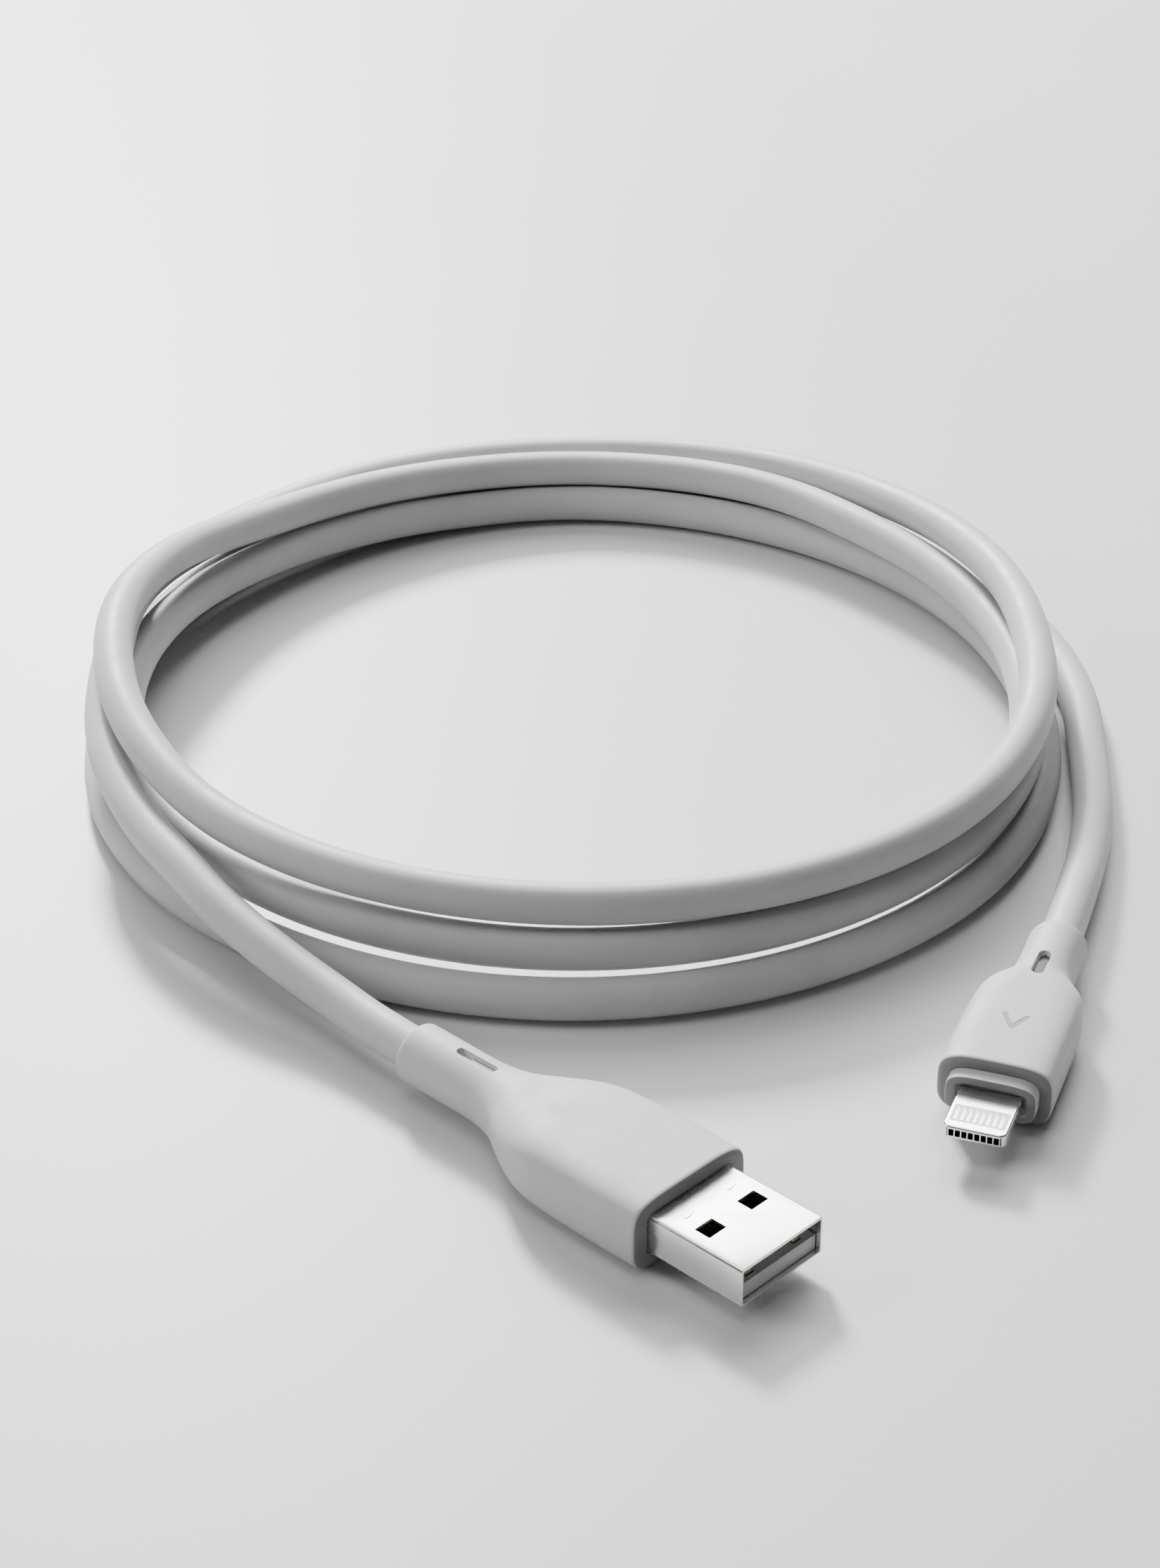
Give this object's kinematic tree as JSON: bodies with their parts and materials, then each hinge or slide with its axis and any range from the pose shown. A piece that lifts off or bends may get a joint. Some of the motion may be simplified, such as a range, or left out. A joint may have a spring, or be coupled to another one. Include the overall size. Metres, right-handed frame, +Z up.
{
  "type": "charging cable",
  "caption": "Loosely coiled light-grey charging cable with a type-A plug on one end and a small reversible phone plug on the other.",
  "frame": {"origin": "bottom centre of the box round the two connectors, on the surface they lie on", "axes": "+Z up from the surface, +Y from the connectors towards the coil's far side, +X to the right when seen from the connectors' side"},
  "size_m": [0.1255, 0.1814, 0.017],
  "materials": {
    "cable_jacket": "soft matte",
    "grip": "soft matte",
    "bright_metal": "bright satin nickel",
    "tinned_steel": "dull tinned",
    "contact_gold": "thin gold plating",
    "contact_silver": "thin silver-grey plating",
    "insulator": "moulded satin",
    "hard_white": "moulded satin",
    "board": "solder mask",
    "chip": "moulded",
    "capacitor": "ceramic",
    "wire_red": "insulation",
    "wire_white": "insulation",
    "wire_green": "insulation",
    "wire_black": "insulation"
  },
  "bodies": {
    "root": {"type_a_shell": "bright_metal", "type_a_tongue": "insulator", "type_a_contact_1": "contact_gold", "type_a_contact_2": "contact_gold", "type_a_contact_3": "contact_gold", "type_a_contact_4": "contact_gold", "type_a_rear_shield_upper": "tinned_steel", "type_a_rear_shield_lower": "tinned_steel", "type_a_inner_mould": "hard_white", "type_a_overmould": "grip", "type_a_cable_crimp": "tinned_steel", "type_a_wire_1": "wire_red", "type_a_wire_2": "wire_white", "type_a_wire_3": "wire_green", "type_a_wire_4": "wire_black", "phone_tab_frame": "bright_metal", "phone_contact_carrier": "hard_white", "phone_contact_1": "contact_silver", "phone_contact_2": "contact_silver", "phone_contact_3": "contact_silver", "phone_contact_4": "contact_silver", "phone_contact_5": "contact_silver", "phone_contact_6": "contact_silver", "phone_contact_7": "contact_silver", "phone_contact_8": "contact_silver", "phone_front_collar": "grip", "phone_circuit_board": "board", "phone_controller_chip": "chip", "phone_capacitor_1": "capacitor", "phone_capacitor_2": "capacitor", "phone_shield_can": "tinned_steel", "phone_overmould": "grip", "phone_cable_crimp": "tinned_steel", "phone_wire_1": "wire_red", "phone_wire_2": "wire_white", "phone_wire_3": "wire_green", "phone_wire_4": "wire_black", "type_a_side_cable": "cable_jacket", "cable_coil": "cable_jacket", "phone_side_cable": "cable_jacket"}
  },
  "joints": []
}
